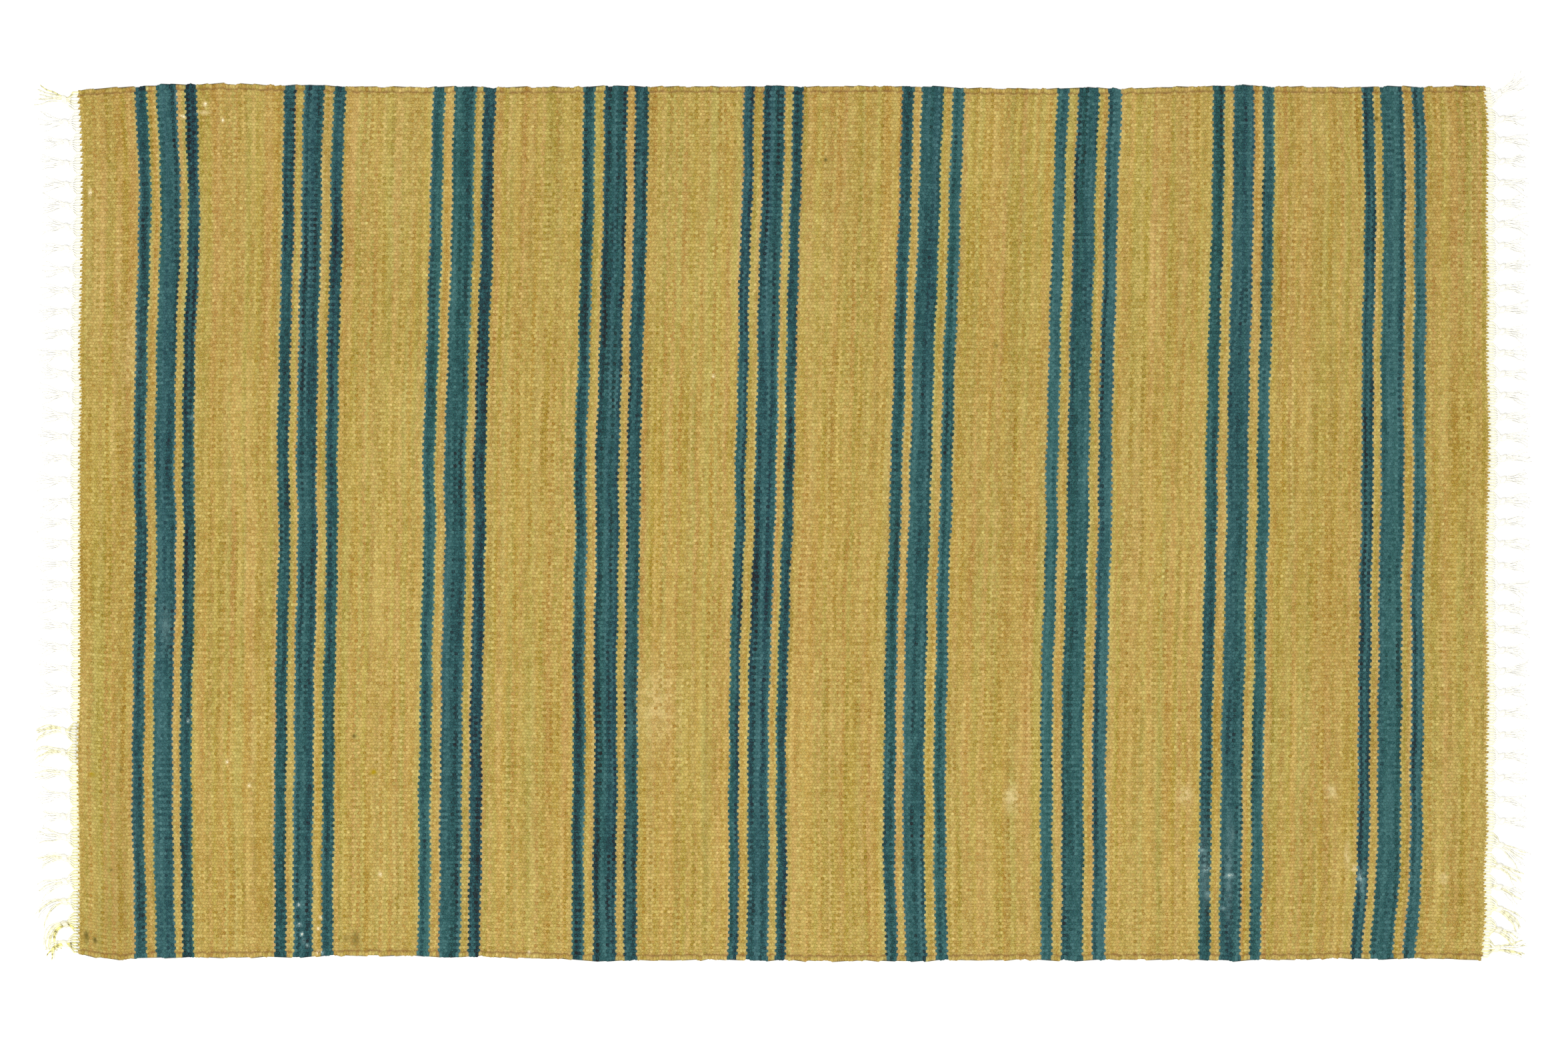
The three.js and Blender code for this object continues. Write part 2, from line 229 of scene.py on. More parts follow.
# The camera looks straight down. The frame is this wide at the cloth's top,
# and its middle lies here on the straight-edged cloth.
FRAME_WIDTH = 1781.9 * MM
FRAME_MIDDLE = (0.8 * MM, 0.8 * MM)
LENS = 120
SENSOR = 36
CLIP_END = 100


def smooth(at, places, values):
    """The smooth curve through values, one for each place, or a row of them that goes with at."""
    places = np.asarray(places, float)
    values = np.asarray(values, float).reshape(len(places), -1)
    values = np.broadcast_to(values, (len(places), at.size))
    every = np.arange(at.size)
    last = len(places) - 1
    i = np.clip(np.searchsorted(places, at) - 1, 0, last - 1)
    before = np.maximum(i - 1, 0)
    after = np.minimum(i + 2, last)
    near, far = values[i, every], values[i + 1, every]
    span = places[i + 1] - places[i]
    t = np.clip((at - places[i]) / span, 0, 1)
    near_slope = (far - values[before, every]) / (places[i + 1] - places[before]) * span
    far_slope = (values[after, every] - near) / (places[after] - places[i]) * span
    rise = far - near
    bend = 3 * rise - 2 * near_slope - far_slope
    twist = near_slope + far_slope - 2 * rise
    return near + t * (near_slope + t * (bend + t * twist))


def bump(along, middle, half):
    """A smooth hump of 1 at the middle, gone twice as far out as half."""
    return np.exp(-(((along - middle) / half) ** 2))


def outwards(edge, at):
    """How far an edge lies outside its straight line, in metres."""
    places, values = np.array(edge).T
    return smooth(at / MM, places, values) * MM


def edge_pull(x, y):
    """How far east the two uneven ends draw a point of the cloth."""
    east = x / LENGTH + 0.5
    return outwards(EAST_EDGE, y) * east - outwards(WEST_EDGE, y) * (1 - east)


def stripe_middle(stripe):
    """The middle of a wide stripe on the straight-edged cloth."""
    first, wide = stripe[0], stripe[3]
    return (first + wide / 2) * PICK_PITCH - LENGTH / 2


def bow(x, y):
    """How far east the beating-in has moved a point of the cloth, besides the pull of its ends."""
    middles = np.array([stripe_middle(stripe) for stripe in STRIPES])
    moved = [np.zeros(x.size)]
    for middle, lie in zip(middles, STRIPE_LIE):
        lies_at = smooth(y / MM, LIE_LINES, lie) * MM + CREASE * bump(y, 0, CREASE_HALF)
        moved.append(lies_at - middle - edge_pull(np.full(y.size, middle), y))
    moved.append(np.zeros(x.size))
    return smooth(x, [-LENGTH / 2, *middles, LENGTH / 2], np.array(moved))


def place(x, y):
    """Where points of the straight-edged cloth lie in the real one, before it is centred."""
    bowed = x + bow(x, y)
    north = y / WIDTH + 0.5
    pull = outwards(NORTH_EDGE, bowed) * north - outwards(SOUTH_EDGE, bowed) * (1 - north)
    return bowed + edge_pull(x, y), y + pull


OUTLINE_STEPS = 2001


def middle_of_outline():
    """The middle of the uneven cloth's own box, before it is centred."""
    along = np.linspace(-0.5, 0.5, OUTLINE_STEPS)
    _, north = place(along * LENGTH, np.full(along.size, WIDTH / 2))
    _, south = place(along * LENGTH, np.full(along.size, -WIDTH / 2))
    east, _ = place(np.full(along.size, LENGTH / 2), along * WIDTH)
    west, _ = place(np.full(along.size, -LENGTH / 2), along * WIDTH)
    return (east.max() + west.min()) / 2, (north.max() + south.min()) / 2


ground_low, ground_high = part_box("ground")
OUTLINE_MIDDLE = middle_of_outline()
SHIFT_X = (ground_low.x + ground_high.x) / 2 - OUTLINE_MIDDLE[0]
SHIFT_Y = (ground_low.y + ground_high.y) / 2 - OUTLINE_MIDDLE[1]


def new_object(name, data):
    made = bpy.data.objects.new(name, data)
    bpy.context.scene.collection.objects.link(made)
    return made


def add_camera():
    data = bpy.data.cameras.new("camera")
    data.lens = LENS
    data.sensor_width = SENSOR
    data.clip_end = CLIP_END
    camera = new_object("camera", data)
    height = THICKNESS + FRAME_WIDTH * LENS / SENSOR
    camera.location = (FRAME_MIDDLE[0] + SHIFT_X, FRAME_MIDDLE[1] + SHIFT_Y, height)
    bpy.context.scene.camera = camera


add_camera()


# Meshes from arrays.

# The corners of a quad's two triangles.
HALVES = ((0, 1, 2), (0, 2, 3))


def mesh_object(name, points, corners, maps, normals=None):
    """A smooth mesh of triangles. corners is (faces, 3), with a row for each corner in
    each map and in the normals."""
    used, corners = np.unique(corners, return_inverse=True)
    corners = corners.reshape(-1, 3)
    mesh = bpy.data.meshes.new(name)
    mesh.vertices.add(len(used))
    mesh.vertices.foreach_set("co", points[used].astype(np.float32).ravel())
    mesh.loops.add(corners.size)
    mesh.loops.foreach_set("vertex_index", corners.astype(np.int32).ravel())
    mesh.polygons.add(len(corners))
    mesh.polygons.foreach_set("loop_start", np.arange(0, corners.size, 3, dtype=np.int32))
    for label, values in maps.items():
        layer = mesh.uv_layers.new(name=label, do_init=False)
        layer.uv.foreach_set("vector", values.astype(np.float32).ravel())
    mesh.update(calc_edges=True)
    mesh.shade_smooth()
    if normals is not None:
        mesh.normals_split_custom_set(normals.reshape(-1, 3).tolist())
    return new_object(name, mesh)


def marks_at(points):
    """How worn, and how soiled above 0 or yellowed below it, the top of the cloth is at points."""
    x = (points[:, 0] - SHIFT_X) / MM
    y = (points[:, 1] - SHIFT_Y) / MM
    top = points[:, 2] > THICKNESS / 2

    def laid(places):
        total = np.zeros(len(points))
        for place_x, place_y, half_x, half_y, strength in places:
            total += strength * bump(x, place_x, half_x) * bump(y, place_y, half_y)
        return total * top

    return np.stack([laid(PALE_PLACES), laid(SOILED_PLACES) - laid(YELLOW_PLACES)], -1)


class Skin:
    """Points and triangles gathered for one mesh, with three things that every corner has:
    what is given for one triangle alone holds for all of those added with it."""

    def __init__(self):
        self.points = []
        self.count = 0
        self.corners = []
        self.things = ([], [], [])

    def add_points(self, points):
        """Adds points and returns their numbers."""
        self.points.append(points)
        self.count += len(points)
        return np.arange(self.count - len(points), self.count)

    def add(self, corners, *things):
        corners = np.reshape(corners, (-1, 3))
        self.corners.append(corners)
        for kept, given in zip(self.things, things):
            size = np.shape(given)[-1]
            kept.append(np.broadcast_to(np.reshape(given, (-1, 3, size)), (len(corners), 3, size)))

    def add_quads(self, corners, *things):
        """Adds quads, from four sets of corners, as two triangles each."""
        for half in HALVES:
            parts = [np.stack([given[n] for n in half], -2) for given in things]
            self.add(np.stack([corners[n] for n in half], -1), *parts)

    def gathered(self):
        return [np.concatenate(kept) for kept in (self.points, self.corners, *self.things)]


# The woven ground.

# The underside's ribs are numbered on from here, so that its own floats show.
UNDERSIDE = 400
# The normals of faces that lie flat, and of walls, whose own ones are right.
UPWARDS = [(0, 0, 1)] * 3
DOWNWARDS = [(0, 0, -1)] * 4
ITS_OWN = [(0, 0, 0)] * 3
# Corners are drawn in by this much in the weave map, to stay in their float.
WITHIN = 0.004
# The bake map: the top in two halves side by side, and below them the
# underside, the walls along the cuts and the walls along the selvedges.
HALF = RIBS // 2
BAKE_MARGIN = 0.005
BAKE_WIDTH = 0.99
BAKE_HALF_WIDTH = 0.485
BAKE_WALL_WIDTH = 0.48
BAKE_TOP = (0.125, 0.995)
BAKE_UNDERSIDE = (0.005, 0.085)
BAKE_CUT_WALLS = (0.09, 0.1)
BAKE_SELVEDGE_WALLS = (0.105, 0.12)

# A float is widest over the middle of its warp, where it bulges into the gaps
# of its neighbours' ribs, and no two floats are alike. In picks and ribs.
BULGE = 0.13
UNEVEN_PICK = 0.14
UNEVEN_RIB = 0.07
UNEVEN_HEIGHT = 0.12 * MM
SCALLOP = 0.12
UNDERCUT = 0.4
RIM_UNDERCUT = RIM_INSET / SELVEDGE_WIDTH
HOLLOW_SEED = 5
CREST_SEED = 6
hollow_draws = np.random.default_rng(HOLLOW_SEED).uniform(-1, 1, (PICKS + 2, RIBS + 1, 2))
crest_draws = np.random.default_rng(CREST_SEED).uniform(-1, 1, (PICKS, RIBS))

# Picks and warps waver a little as they run: how far, how long the waves are,
# and how far one pick or warp is ahead of the next, in waves.
PICK_WAVES = [
    (0.22 * MM, 38 * MM, 0.13),
    (0.40 * MM, 97 * MM, 0.037),
    (0.35 * MM, 210 * MM, 0.011),
]
WARP_WAVES = [(0.15 * MM, 52 * MM, 0.31), (0.30 * MM, 160 * MM, 0.045)]
# The waves begin this many picks and ribs in from the edges, and the bumps of
# the selvedges die out within that many ribs.
EDGE_FADE = 8
BUMP_FADE = 5


def rib_line(rib):
    """How far north the boundary below a rib lies on the straight-edged cloth."""
    half = WIDTH / 2
    turns = [-half, -half + SELVEDGE_WIDTH, half - SELVEDGE_WIDTH, half]
    return np.interp(rib, [0, 1, RIBS - 1, RIBS], turns)


def waver(waves, along, number):
    moved = 0
    for far, long, ahead in waves:
        moved = moved + far * np.sin(2 * np.pi * (along / long + ahead * number))
    return moved


def selvedge_bumps(x, y):
    """How far outwards the yarn that turns round a selvedge stands."""
    north = y > 0
    out = np.zeros(x.shape)
    for number, (far, long) in enumerate(SELVEDGE_BUMPS):
        drift = DRIFT * np.sin(x / (DRIFT_LENGTH * long))
        phase = x / long + BUMP_START * number + NORTH_START * north + drift
        out += far * (np.sin(2 * np.pi * phase) - 0.5)
    for stripe in STRIPES:
        out += STRIPE_BULGE * bump(x, stripe_middle(stripe), STRIPE_BULGE_LENGTH)
    return out + ~north * CORNER_LUMP * bump(x, LENGTH / 2, CORNER_LUMP_LENGTH)


def laid_out(pick, rib, height):
    """The points of the real cloth at these picks, ribs and heights."""
    along = pick * PICK_PITCH - LENGTH / 2
    x, y = place(along, rib_line(rib))
    from_edge = np.minimum(rib, RIBS - rib)
    from_end = np.minimum(pick, PICKS - pick)
    inside = np.clip(from_edge / EDGE_FADE, 0, 1) * np.clip(from_end / EDGE_FADE, 0, 1)
    bumps = selvedge_bumps(along, y) * np.clip(1 - from_edge / BUMP_FADE, 0, 1) ** 2
    moved_x = x + waver(PICK_WAVES, y, pick) * inside
    moved_y = y + waver(WARP_WAVES, x, rib) * inside + np.sign(y) * bumps
    return np.stack([moved_x + SHIFT_X, moved_y + SHIFT_Y, height], axis=-1)


def grid(rows, columns):
    return np.meshgrid(rows, columns, indexing="ij")


def between(share, span):
    return span[0] + share * (span[1] - span[0])


def undercut_at(column):
    """How far in from the cloth's ends the underside stops."""
    return UNDERCUT * ((column <= 1) * 1.0 - (column >= PICKS) * 1.0)


class Strip(Skin):
    """The cloth's picks from first up to last, closed all round. Columns are the hollows
    between floats along a rib, half a pick west of the pick with the same number."""

    def __init__(self, first, last):
        super().__init__()
        self.first = first
        self.last = last
        ribs = np.arange(RIBS)
        self.west = first + (first + ribs) % 2
        self.east = last + (last + ribs) % 2
        inner = np.arange(first + UNDERSIDE_STEP, last - UNDERSIDE_STEP // 2, UNDERSIDE_STEP)
        self.stations = np.concatenate([[first, first + 1], inner, [last, last + 1]])

    def add_grid(self, pick, rib, height):
        """Adds a grid of points and returns their numbers in the same shape."""
        pick, rib, height = np.broadcast_arrays(pick, rib, height)
        made = laid_out(pick.ravel().astype(float), rib.ravel().astype(float), height.ravel())
        return self.add_points(made).reshape(pick.shape)

    def make_points(self):
        column, line = grid(np.arange(self.first, self.last + 2), np.arange(RIBS + 1))
        rim = (line == 0) | (line == RIBS)
        end = (column <= 1) | (column >= PICKS)
        height = np.where(rim | end, RIM_HEIGHT, THICKNESS - RELIEF)
        bulge = np.where((column + line) % 2 == 0, BULGE, -BULGE)
        gap = (column + np.minimum(line, RIBS - 1)) % 2 == 0
        inwards = np.where(line == 0, SCALLOP, -SCALLOP) * gap
        self.hollow_rib = line + np.where(rim, inwards, bulge)
        draws = hollow_draws[self.first : self.last + 2]
        self.hollows = self.add_grid(
            column - 0.5 + UNEVEN_PICK * draws[..., 0],
            self.hollow_rib + UNEVEN_RIB * draws[..., 1] * ~rim,
            height,
        )

        pick, rib = grid(np.arange(self.first, self.last), np.arange(RIBS))
        shown = (pick + rib) % 2 == 0
        self.pick, self.rib = pick[shown], rib[shown]
        fat = (self.rib == 0) | (self.rib == RIBS - 1)
        higher = fat * SELVEDGE_RISE + UNEVEN_HEIGHT * crest_draws[self.pick, self.rib]
        self.crests = self.add_grid(self.pick + 0.5, self.rib + 0.5, THICKNESS + higher)

        column, line = grid(self.stations, np.arange(RIBS + 1))
        rim_in = RIM_UNDERCUT * ((line == 0) * 1.0 - (line == RIBS) * 1.0)
        low = column - 0.5 + undercut_at(column)
        self.low_hollows = self.add_grid(low, line + rim_in, RELIEF)
        column, rib = grid(self.stations, np.arange(RIBS))
        self.low_crests = self.add_grid(column - 0.5 + undercut_at(column), rib + 0.5, 0.0)

    def share(self, pick):
        """How far across the strip a place lies, from 0 in the west to 1 in the east."""
        return (pick - self.first + 0.5) / (self.last - self.first + 1)

    def add_floats(self):
        """Each float is a low dome: a crest and the six hollows round it."""
        half = (self.rib >= HALF) * 1.0
        spots = []
        for east, north in [(0, 0), (1, 0), (2, 0), (2, 1), (1, 1), (0, 1), (1, 0.5)]:
            numbers = self.crests
            pick = self.pick + east - 0.5 + WITHIN * (1 - east)
            rib = self.rib + 0.5
            if len(spots) < 6:
                hollow = self.pick - self.first + east, self.rib + north
                numbers = self.hollows[hollow]
                rib = rib + (self.hollow_rib[hollow] - rib) * (1 - WITHIN)
            u = BAKE_MARGIN + 0.5 * half + BAKE_HALF_WIDTH * self.share(pick)
            v = between((rib - half * HALF) / HALF, BAKE_TOP)
            spots.append((numbers, np.stack([pick, rib], -1), np.stack([u, v], -1)))
        for i in range(6):
            triangle = zip(spots[6], spots[i], spots[(i + 1) % 6])
            self.add(*(np.stack(parts, 1) for parts in triangle), UPWARDS)

    def underside_spots(self, pick, rib):
        weave = np.stack([pick, rib + UNDERSIDE], -1)
        u = BAKE_MARGIN + BAKE_WIDTH * rib / RIBS
        return weave, np.stack([u, between(self.share(pick), BAKE_UNDERSIDE)], -1)

    def add_underside(self):
        """Ribs alone, as the floats below are seen only from the floor."""
        for rib in range(RIBS):
            inside = (self.stations >= self.west[rib]) & (self.stations <= self.east[rib])
            rows = np.nonzero(inside)[0]
            a, b = rows[:-1], rows[1:]
            for near, far, low, high in (
                (self.low_hollows[:, rib], self.low_crests[:, rib], 0, 0.5),
                (self.low_crests[:, rib], self.low_hollows[:, rib + 1], 0.5, 1),
            ):
                quad = []
                for line, row, step in ((near, a, low), (far, a, high), (far, b, high), (near, b, low)):
                    here = np.full(row.size, rib + step + WITHIN * (1 - 2 * step))
                    quad.append((line[row], *self.underside_spots(self.stations[row] - 0.5, here)))
                self.add_quads(*zip(*quad), DOWNWARDS)

    def add_cut_walls(self):
        """The zigzag wall at each end of the strip, along the hollows between two picks."""
        for ends, outwards_east in ((self.west, False), (self.east, True)):
            rows = {station: i for i, station in enumerate(self.stations)}
            for rib in range(RIBS):
                column, row = ends[rib], rows[ends[rib]]
                low, high = self.low_hollows[row, rib : rib + 2]
                top_low, top_high = self.hollows[column - self.first, rib : rib + 2]
                foot = self.low_crests[row, rib]
                faces = [(foot, low, top_low), (foot, top_low, top_high), (foot, top_high, high)]
                self.add_wall(faces, outwards_east, column, rib + 0.5)
            for line in range(1, RIBS):
                shorter_north = (ends[line] > ends[line - 1]) != outwards_east
                near, far = min(ends[line - 1 : line + 1]), max(ends[line - 1 : line + 1])
                a = self.hollows[near - self.first, line]
                b = self.hollows[far - self.first, line]
                c, d = self.low_hollows[rows[near], line], self.low_hollows[rows[far], line]
                self.add_wall([(a, d, c), (a, b, d)], not shorter_north, near, line + 0.0)

    def add_wall(self, faces, turned, column, rib):
        corners = [face[::-1] if turned else face for face in faces]
        low, high = BAKE_CUT_WALLS
        u = BAKE_MARGIN + BAKE_WIDTH * (rib + np.array([0, 0.2, 0.4])) / (RIBS + 1)
        bake = np.stack([u, (low, high, low)], -1)
        self.add(corners, [(column - 0.5, rib)] * 3, bake, ITS_OWN)

    def add_selvedge_walls(self):
        """The outer wall of each selvedge. Its top has every hollow, and its foot the stations."""
        for line, rib, north in ((0, 0, False), (RIBS, RIBS - 1, True)):
            rows = [i for i, s in enumerate(self.stations) if self.west[rib] <= s <= self.east[rib]]
            for row, following in zip(rows[:-1], rows[1:]):
                start, stop = self.stations[row], self.stations[following]
                foot = self.low_hollows[row, line], start
                next_foot = self.low_hollows[following, line], stop
                tops = [(self.hollows[c - self.first, line], c) for c in range(start, stop + 1)]
                turn = (start + stop) // 2 - start
                faces = [
                    (foot if i < turn else next_foot, tops[i + 1], tops[i]) for i in range(stop - start)
                ]
                faces.append((foot, next_foot, tops[turn]))
                self.add_selvedge_faces(faces, rib, north)

    def add_selvedge_faces(self, faces, rib, north):
        low = self.low_hollows.min()
        edge = rib + (1 - WITHIN if north else WITHIN)
        west = 2 * BAKE_MARGIN + 0.5 * north
        for face in faces:
            corners, columns = np.array(face[::-1] if north else face).T
            weave = [(column - 0.5, edge) for column in columns]
            u = west + BAKE_WALL_WIDTH * self.share(columns - 0.5)
            v = np.where(corners < low, *reversed(BAKE_SELVEDGE_WALLS))
            self.add(corners, weave, np.stack([u, v], -1), ITS_OWN)

    def made(self, name):
        self.make_points()
        self.add_floats()
        self.add_underside()
        self.add_cut_walls()
        self.add_selvedge_walls()
        points, corners, weave, bake, normals = self.gathered()
        maps = {"weave": weave, "marks": marks_at(points)[corners.ravel()], "OFBake": bake}
        return mesh_object(name, points, corners, maps, normals)


def stripe_group(stripe):
    """The picks of a group's three blue stripes, as (first, last) pairs."""
    first, narrow_west, gap_west, wide, gap_east, narrow_east = stripe
    east = first + wide + gap_east
    return [
        (first - gap_west - narrow_west, first - gap_west),
        (first, first + wide),
        (east, east + narrow_east),
    ]


def add_ground():
    cuts = [0, *(stripe_group(stripe)[-1][1] for stripe in STRIPES), PICKS]
    strips = []
    for number, (first, last) in enumerate(zip(cuts[:-1], cuts[1:]), start=1):
        strips.append(Strip(first, last).made(f"ground_{number:02d}"))
    return strips, [(last - first) * PICK_PITCH for first, last in zip(cuts[:-1], cuts[1:])]


# The fringes.

# The corners round a yarn, its steps beyond the knot, and the steps of a wrap.
YARN_SIDES = 5
YARN_STEPS = 10
RING_STEPS = 14
YARN_SEED = 17
# A warp starts this far inside the cloth, comes out, and has crossed the heading
# this far short of the knot, at these heights.
YARN_INSIDE = 2.5 * MM
YARN_OUTSIDE = 0.5 * MM
YARN_SHORT = 1 * MM
HEADING_HEIGHTS = (1.5 * MM, 1.4 * MM, 1.0 * MM)
# Its way through the knot, in mm: out from the heading, off to the side for the
# outermost warp, up, and how much further up for every second warp.
THROUGH_KNOT = [
    (2.4, 6.2, 1.3, 0.4), (5.2, 2.4, 1.5, 1.3), (9.0, 2.2, 2.4, 1.4), (12.6, 2.6, 1.6, 1.1),
]
# Beyond it the strands fan out and curl: degrees for the outermost one, and
# how many more or fewer by chance.
FAN = (13, 4)
CURL = (7, 10)
# Their share of the usual length, and how much more or less by chance.
STRAND_REACH = (0.95, 0.13)
# They wave this far, this many times, start this much higher where they lie on
# top, and lose this share of their radius by the tip.
STRAND_WAVE = 1.1 * MM
STRAND_WAVES = 1.3
STRAND_ON_TOP = 1.3 * MM
TIP_LOSS = 0.45
# The wraps of a knot, out from the heading, with their share of its girth.
KNOT_WRAPS = [(7.0, 0.80), (7.9, 0.95), (8.9, 1.0), (9.9, 0.96), (10.8, 0.82)]
KNOT_TILT = 24
KNOT_HALF_ACROSS = 3.9 * MM
KNOT_HALF_UP = 2.1 * MM
KNOT_MIDDLE_UP = 3.1 * MM


class Yarns(Skin):
    """Tubes in one mesh. A tube's weave map gives the length along it in mm, and its number
    with the share of the way round."""

    def __init__(self):
        super().__init__()
        self.tubes = 0

    def add_tube(self, path, radii, across, spot, tint, closed=False):
        """One tube along path. across is square to the path, roughly, at each of its points,
        and tint says how dark and how yellow the yarn is there."""
        sides = YARN_SIDES
        ahead = np.roll(path, -1, 0) - np.roll(path, 1, 0) if closed else np.gradient(path, axis=0)
        ahead /= np.linalg.norm(ahead, axis=1, keepdims=True)
        side = np.cross(ahead, across)
        side /= np.linalg.norm(side, axis=1, keepdims=True)
        up = np.cross(side, ahead)
        turn = np.arange(sides) / sides * 2 * np.pi
        ring = np.cos(turn)[None, :, None] * side[:, None] + np.sin(turn)[None, :, None] * up[:, None]
        points = path[:, None] + ring * np.asarray(radii)[:, None, None]
        steps = len(path) if closed else len(path) - 1
        gaps = np.linalg.norm(np.roll(path, -1, 0) - path, axis=1)
        length = np.concatenate([[0], np.cumsum(gaps)])
        i, j = grid(np.arange(steps), np.arange(sides))
        numbers = self.add_points(points.reshape(-1, 3)).reshape(-1, sides)
        quad = [(i, j), (i, j + 1), (i + 1, j + 1), (i + 1, j)]
        u0, v0, u1, v1 = spot
        self.add_quads(
            [numbers[a % len(path), b % sides] for a, b in quad],
            [np.stack([length[a] / MM, self.tubes + 0.05 + 0.9 * b / sides], -1) for a, b in quad],
            [tint[a % len(path)] for a, _ in quad],
            [np.stack([u0 + (u1 - u0) * b / sides, v0 + (v1 - v0) * a / steps], -1) for a, b in quad],
        )
        if not closed:
            self.add_cap(numbers[0], (u0, v0), -1)
            self.add_cap(numbers[-1], (u0, v1), 1)
        self.tubes += 1

    def add_cap(self, ring, spot, turned):
        """Closes an end of a tube. turned is -1 at its start, where the cap faces back."""
        fan = np.array([(ring[0], *pair) for pair in zip(ring[1:], ring[2:])])
        number = self.tubes + 0.5
        yarn = [(0, number), (0.1, number), (0, self.tubes + 0.6)]
        tiny = np.array([(0, 0), (0.001, 0), (0, 0.001)]) + spot
        self.add(fan[:, ::turned], yarn, np.zeros((3, 2)), tiny)

    def made(self, name):
        points, corners, yarn, marks, bake = self.gathered()
        return mesh_object(name, points, corners, {"yarn": yarn, "marks": marks, "OFBake": bake})


def tassel_pose(side, index):
    """How a tassel lies: lean and curl in degrees, and share of the usual length. Sines of
    unlike lengths make it differ from one tassel to the next."""
    if (side, index) in CORNER_TASSELS:
        return CORNER_TASSELS[side, index]
    lean = LEAN_SWING * (0.7 * math.sin(0.6 * index + side) + 0.3 * math.sin(1.7 * index))
    curl = CURL_SWING * math.sin(2.6 * index - 0.8 * side)
    return lean, curl, 1 + REACH_SWING * math.sin(3.3 * index + 2 * side)


def end_of_cloth(side, y):
    """The cloth's end there, with x turned over for the west one."""
    x, y = place(np.array([side * LENGTH / 2]), np.array([y]))
    return side * x[0], y[0]


def tassel_middle(index):
    return (index + 0.5) * TASSEL_PITCH - WIDTH / 2 + HEADING_SETBACK


def heading_end(side, index):
    """Where the heading ends at a tassel's middle."""
    x, y = end_of_cloth(side, tassel_middle(index))
    x += CLEARANCE + HEADING_WIDTH
    return x, y


def on_the_rug(path, side):
    """A path beside the cloth, turned over for the west end, where it lies on the real rug."""
    return np.array(path) * (side, 1, 1) + (SHIFT_X, SHIFT_Y, 0)


def by_chance(usual_and_swing, chance):
    usual, swing = usual_and_swing
    return usual + swing * chance


def yarn_path(side, index, warp, draws):
    """One warp from inside the cloth through its knot to the loose tip, and its radius on the way."""
    across = (warp - MIDDLE_WARP) / MIDDLE_WARP
    off_middle = (warp - MIDDLE_WARP) * TASSEL_PITCH / WARPS_IN_TASSEL
    own_x, own_y = end_of_cloth(side, tassel_middle(index) + off_middle)
    knot_x, knot_y = heading_end(side, index)
    lean, curl, share = tassel_pose(side, index)
    heading = math.radians(lean)

    def beside(out, off, up):
        return (
            knot_x + (out * math.cos(heading) - off * math.sin(heading)) * MM,
            knot_y + (out * math.sin(heading) + off * math.cos(heading)) * MM,
            up * MM,
        )

    upper = warp % 2
    starts = (own_x - YARN_INSIDE, own_x + YARN_OUTSIDE, own_x + HEADING_WIDTH - YARN_SHORT)
    path = [(x, own_y, up) for x, up in zip(starts, HEADING_HEIGHTS)]
    path += [beside(out, across * off, up + higher * upper) for out, off, up, higher in THROUGH_KNOT]
    angle = heading + math.radians(FAN[0] * across + FAN[1] * draws[0])
    turn = math.radians(curl + CURL[0] * across + CURL[1] * draws[1])
    reach = LOOSE_LENGTH * share * by_chance(STRAND_REACH, draws[2])
    x, y, up = path[-1]
    for step in range(1, YARN_STEPS + 1):
        t = step / YARN_STEPS
        along = angle + turn * (t - 0.5 / YARN_STEPS)
        x += reach / YARN_STEPS * math.cos(along)
        y += reach / YARN_STEPS * math.sin(along)
        wave = STRAND_WAVE * t * math.sin(2 * math.pi * (STRAND_WAVES * t + draws[3]))
        resting = YARN_RADIUS + (upper * STRAND_ON_TOP) * (1 - t) ** 2
        path.append((
            x - math.sin(along) * wave,
            y + math.cos(along) * wave,
            max(resting, up + (resting - up) * min(1, 3 * t)),
        ))
    thin = np.linspace(0, 1, YARN_STEPS + 1) ** 3
    whole = np.full(len(path) - len(thin), YARN_RADIUS)
    radii = np.concatenate([whole, YARN_RADIUS * (1 - TIP_LOSS * thin)])
    return on_the_rug(path, side), radii


def knot_wrap(side, index, out, girth):
    """One wrap of a tassel's knot, as a closed loop, and the direction square to it."""
    x, y = heading_end(side, index)
    heading = math.radians(tassel_pose(side, index)[0])
    tilt = math.radians(KNOT_TILT)
    turn = np.arange(RING_STEPS) / RING_STEPS * 2 * np.pi
    off = np.cos(turn) * KNOT_HALF_ACROSS * girth
    up = KNOT_MIDDLE_UP + np.sin(turn) * KNOT_HALF_UP * girth
    away = out * MM + off * math.sin(tilt)
    off = off * math.cos(tilt)
    path = np.stack([
        x + away * math.cos(heading) - off * math.sin(heading),
        y + away * math.sin(heading) + off * math.cos(heading),
        up,
    ], -1)
    axis = np.array([math.cos(heading + tilt) * side, math.sin(heading + tilt), 0])
    return on_the_rug(path, side), axis


# How far the first points of a yarn's path, beside the cloth, take up the painted
# shade there, and what share of it each yarn has, with how much more or less by chance.
SHADE_BESIDE_CLOTH = (0.6, 1.0, 0.3)
HEADING_SHADE = (0.75, 0.25)
# How dark a listed tassel's yellowest strands are beyond its knot, where they
# are dark: on two in five of the points of their path. Then the share that each
# strand has of this darkening and of the yellowing, as above.
DARK_STRANDS = 0.85
STRAND_TINT = (0.45, 0.8)
# The wraps of a knot are as dark and as yellow as a yarn with this draw.
WRAP_DRAW = -0.2


